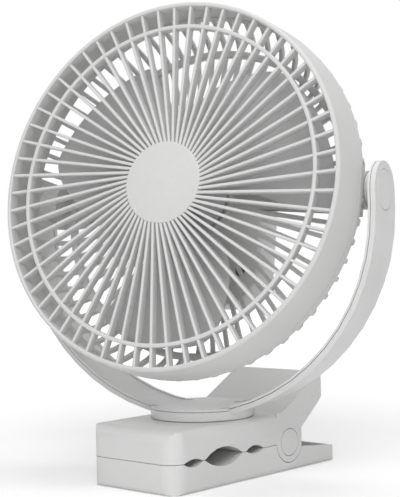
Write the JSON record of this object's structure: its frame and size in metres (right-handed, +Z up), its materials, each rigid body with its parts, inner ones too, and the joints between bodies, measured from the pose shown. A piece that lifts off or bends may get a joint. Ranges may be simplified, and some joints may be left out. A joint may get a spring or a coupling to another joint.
{
  "type": "clip fan",
  "caption": "Round cordless fan on a sprung clip: slotted front guard, bowl-shaped rear grille, a head that tilts in a U-shaped yoke, and a turntable on the upper jaw.",
  "frame": {"origin": "where the turntable's axis meets the clip's flat underside", "axes": "+Z up along the turntable's axis, -Y towards the jaw tips, +X to the right for someone facing the jaw tips' front"},
  "size_m": [0.219, 0.1485, 0.2581],
  "materials": {
    "shell": "fine matt",
    "blade": "satin",
    "soft": "matt",
    "foot": "matt",
    "steel": "satin",
    "bronze": "satin",
    "nylon": "satin",
    "board": "satin",
    "cell": "satin",
    "lens": "clear",
    "dark": "satin"
  },
  "bodies": {
    "base": {"lower_jaw": "shell", "lower_grip": "soft", "foot_pad_front": "foot", "foot_pad_rear": "foot", "hinge_pin": "steel", "clip_spring": "steel"},
    "jaw": {"upper_jaw": "shell", "upper_grip": "soft", "pin_cap_left": "shell", "pin_cap_right": "shell", "swivel_washer": "nylon", "swivel_spring_washer": "steel"},
    "yoke": {"yoke_shell": "shell", "yoke_cover": "shell", "swivel_screw": "steel", "pivot_cap_left": "shell", "pivot_cap_right": "shell", "pivot_screw_left": "steel", "pivot_screw_right": "steel", "friction_washer_left": "nylon", "friction_washer_right": "nylon"},
    "head": {"front_guard": "shell", "rear_grille": "shell", "rear_cover": "shell", "cover_screw_1": "steel", "cover_screw_2": "steel", "cover_screw_3": "steel", "cover_screw_4": "steel", "battery_cell_left": "cell", "battery_cell_right": "cell", "battery_holder": "nylon", "circuit_board": "board", "tact_switch": "dark", "usb_port": "steel", "status_lens_1": "lens", "status_lens_2": "lens", "status_lens_3": "lens", "status_lens_4": "lens", "motor_housing": "dark", "motor_bearing_front": "bronze", "motor_bearing_rear": "bronze"},
    "rotor": {"propeller": "blade", "motor_shaft": "steel"},
    "button": {"power_button": "shell"}
  },
  "joints": [
    {"name": "clip_hinge", "type": "hinge", "parent": "base", "child": "jaw", "pos_m": [0, 0.0367, 0.0158], "axis": [-1, 0, 0], "range_deg": [0, 30], "stiffness_Nm_per_rad": 0.8, "springref_deg": -57.3},
    {"name": "yoke_swivel", "type": "hinge", "parent": "jaw", "child": "yoke", "pos_m": [0, 0, 0.0335], "axis": [0, 0, 1], "range_deg": [-180, 180]},
    {"name": "head_tilt", "type": "hinge", "parent": "yoke", "child": "head", "pos_m": [0, 0, 0.1523], "axis": [-0.9681, -0.2504, 0], "range_deg": [-56, 78]},
    {"name": "rotor_spin", "type": "hinge", "parent": "head", "child": "rotor", "pos_m": [0, 0, 0.1523], "axis": [0.2452, -0.948, 0.2028], "continuous": true},
    {"name": "power_button_press", "type": "slide", "parent": "head", "child": "button", "axis": [0.2452, -0.948, 0.2028], "range_m": [0, 0.0015], "stiffness_N_per_m": 800, "springref_m": -0.0008}
  ]
}
